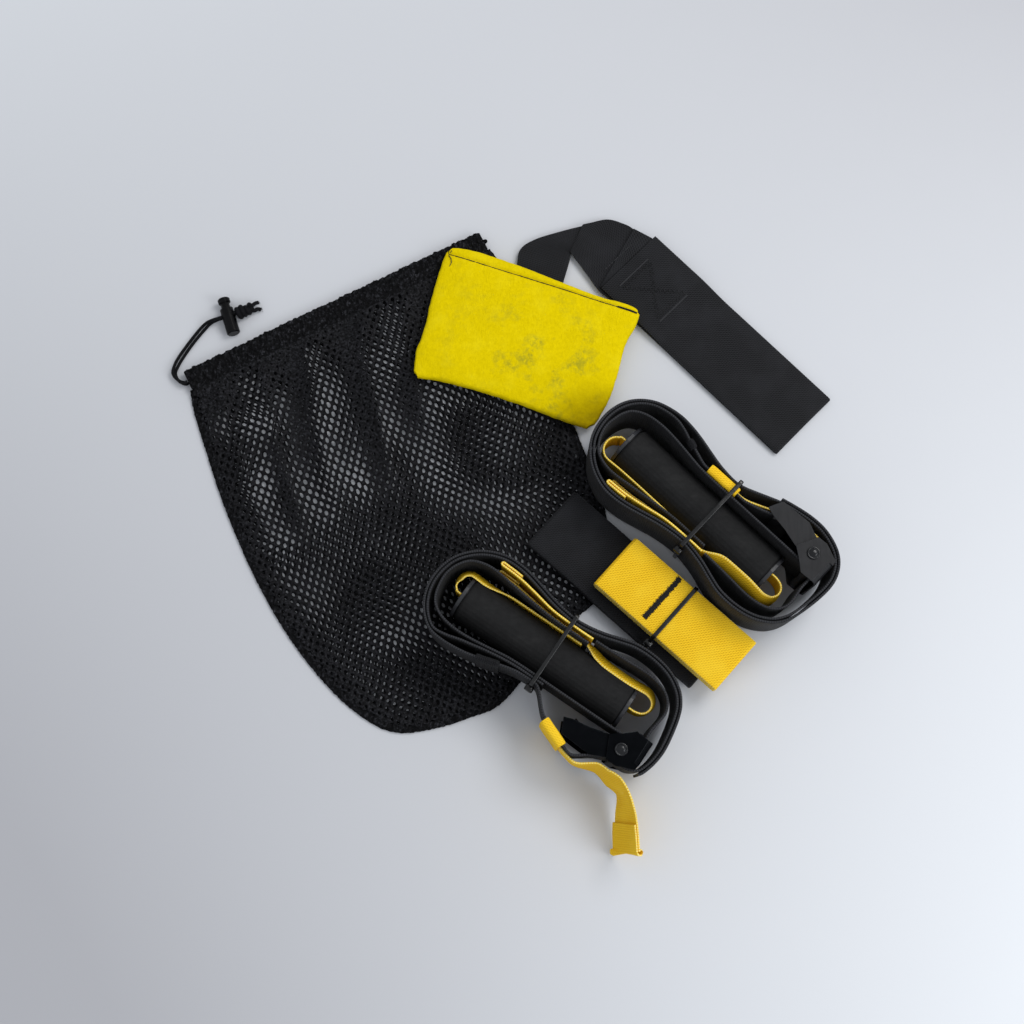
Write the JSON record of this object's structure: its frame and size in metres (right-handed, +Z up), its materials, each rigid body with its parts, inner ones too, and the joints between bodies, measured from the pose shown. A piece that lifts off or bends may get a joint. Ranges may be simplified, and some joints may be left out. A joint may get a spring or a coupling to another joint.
{
  "type": "suspension trainer kit",
  "caption": "Suspension trainer packed flat: handle bundles wound in webbing with cam buckles, an anchor strap and a door anchor pad lying on a mesh drawstring bag.",
  "frame": {"origin": "on the table under the middle of the kit's box, measured without the free drawcord", "axes": "+Z up from the table, +Y towards the bag's mouth, +X to the right as it is pictured"},
  "size_m": [0.4152, 0.3984, 0.0464],
  "materials": {
    "mesh_cloth": "black knitted mesh",
    "cord": "black braided cord",
    "lock_plastic": "glossy black",
    "spring_steel": "bright wire",
    "felt": "lemon yellow felt",
    "pad_core": "stiff foam board",
    "black_webbing": "black ribbed webbing",
    "yellow_webbing": "golden yellow ribbed webbing",
    "tie_plastic": "satin black",
    "grip_foam": "matte black foam",
    "grip_plastic": "dark grey satin",
    "buckle_steel": "black satin coating"
  },
  "bodies": {
    "bag": {"bag_back_panel": "mesh_cloth", "bag_front_panel": "mesh_cloth", "bag_seam": "mesh_cloth", "bag_hem_back": "mesh_cloth", "bag_hem_front": "mesh_cloth", "drawcord_in_hem": "cord", "drawcord_lower_strand": "cord", "drawcord_upper_strand": "cord", "drawcord_knot": "cord"},
    "cord_lock": {"cord_lock_body": "lock_plastic", "cord_lock_spring": "spring_steel"},
    "cord_lock_button": {"cord_lock_plunger": "lock_plastic"},
    "door_anchor": {"door_pad_cover": "felt", "door_pad_core": "pad_core", "door_strap_narrow": "black_webbing", "door_strap_wide": "black_webbing"},
    "suspension_anchor": {"anchor_black_webbing": "black_webbing", "anchor_yellow_webbing": "yellow_webbing", "anchor_cable_tie": "tie_plastic"},
    "bundle_right": {"handle_webbing_right": "yellow_webbing", "yoke_webbing_right": "yellow_webbing", "foot_cradle_right": "black_webbing", "main_strap_right": "black_webbing", "strap_keeper_right": "yellow_webbing", "ribbed_keeper_right": "black_webbing", "adjuster_tab_right": "yellow_webbing", "buckle_frame_right": "buckle_steel", "buckle_axle_right": "spring_steel", "buckle_spring_right": "spring_steel", "cable_tie_right": "tie_plastic"},
    "grip_right": {"grip_foam_right": "grip_foam", "grip_tube_right": "grip_plastic", "grip_ring_upper_right": "grip_plastic", "grip_ring_lower_right": "grip_plastic"},
    "cam_lever_right": {"buckle_cam_right": "buckle_steel"},
    "bundle_left": {"handle_webbing_left": "yellow_webbing", "yoke_webbing_left": "yellow_webbing", "foot_cradle_left": "black_webbing", "main_strap_left": "black_webbing", "strap_keeper_left": "yellow_webbing", "ribbed_keeper_left": "black_webbing", "adjuster_tab_left": "yellow_webbing", "buckle_frame_left": "buckle_steel", "buckle_axle_left": "spring_steel", "buckle_spring_left": "spring_steel", "cable_tie_left": "tie_plastic"},
    "grip_left": {"grip_foam_left": "grip_foam", "grip_tube_left": "grip_plastic", "grip_ring_upper_left": "grip_plastic", "grip_ring_lower_left": "grip_plastic"},
    "cam_lever_left": {"buckle_cam_left": "buckle_steel"}
  },
  "joints": [
    {"name": "cord_lock_slide", "type": "slide", "parent": "bag", "child": "cord_lock", "axis": [-0.9489, -0.3156, 0], "range_m": [0, 0.004]},
    {"name": "cord_lock_press", "type": "slide", "parent": "cord_lock", "child": "cord_lock_button", "axis": [0.3156, -0.9489, 0], "range_m": [0, 0.003], "stiffness_N_per_m": 300, "springref_m": -0.002, "deforming": ["cord_lock_spring"]},
    {"name": "door_anchor_lift", "type": "slide", "parent": "bag", "child": "door_anchor", "axis": [0, 0, 1], "range_m": [0, 0.08]},
    {"name": "suspension_anchor_lift", "type": "slide", "parent": "bag", "child": "suspension_anchor", "axis": [0, 0, 1], "range_m": [0, 0.08]},
    {"name": "bundle_right_lift", "type": "slide", "parent": "bag", "child": "bundle_right", "axis": [0, 0, 1], "range_m": [0, 0.08]},
    {"name": "grip_right_spin", "type": "hinge", "parent": "bundle_right", "child": "grip_right", "pos_m": [0.11461, 0.00335, 0.0231], "axis": [0.7218, -0.6921, 0], "continuous": true},
    {"name": "cam_lever_right_press", "type": "hinge", "parent": "bundle_right", "child": "cam_lever_right", "pos_m": [0.17947, -0.02712, 0.0231], "axis": [0, 0, 1], "range_deg": [0, 10], "stiffness_Nm_per_rad": 0.05, "springref_deg": -5.73},
    {"name": "bundle_left_lift", "type": "slide", "parent": "bag", "child": "bundle_left", "axis": [0, 0, 1], "range_m": [0, 0.08]},
    {"name": "grip_left_spin", "type": "hinge", "parent": "bundle_left", "child": "grip_left", "pos_m": [0.02231, -0.08285, 0.0236], "axis": [0.8261, -0.5635, 0], "continuous": true},
    {"name": "cam_lever_left_press", "type": "hinge", "parent": "bundle_left", "child": "cam_lever_left", "pos_m": [0.06528, -0.14036, 0.0236], "axis": [0, 0, -1], "range_deg": [0, 10], "stiffness_Nm_per_rad": 0.05, "springref_deg": -5.73}
  ]
}
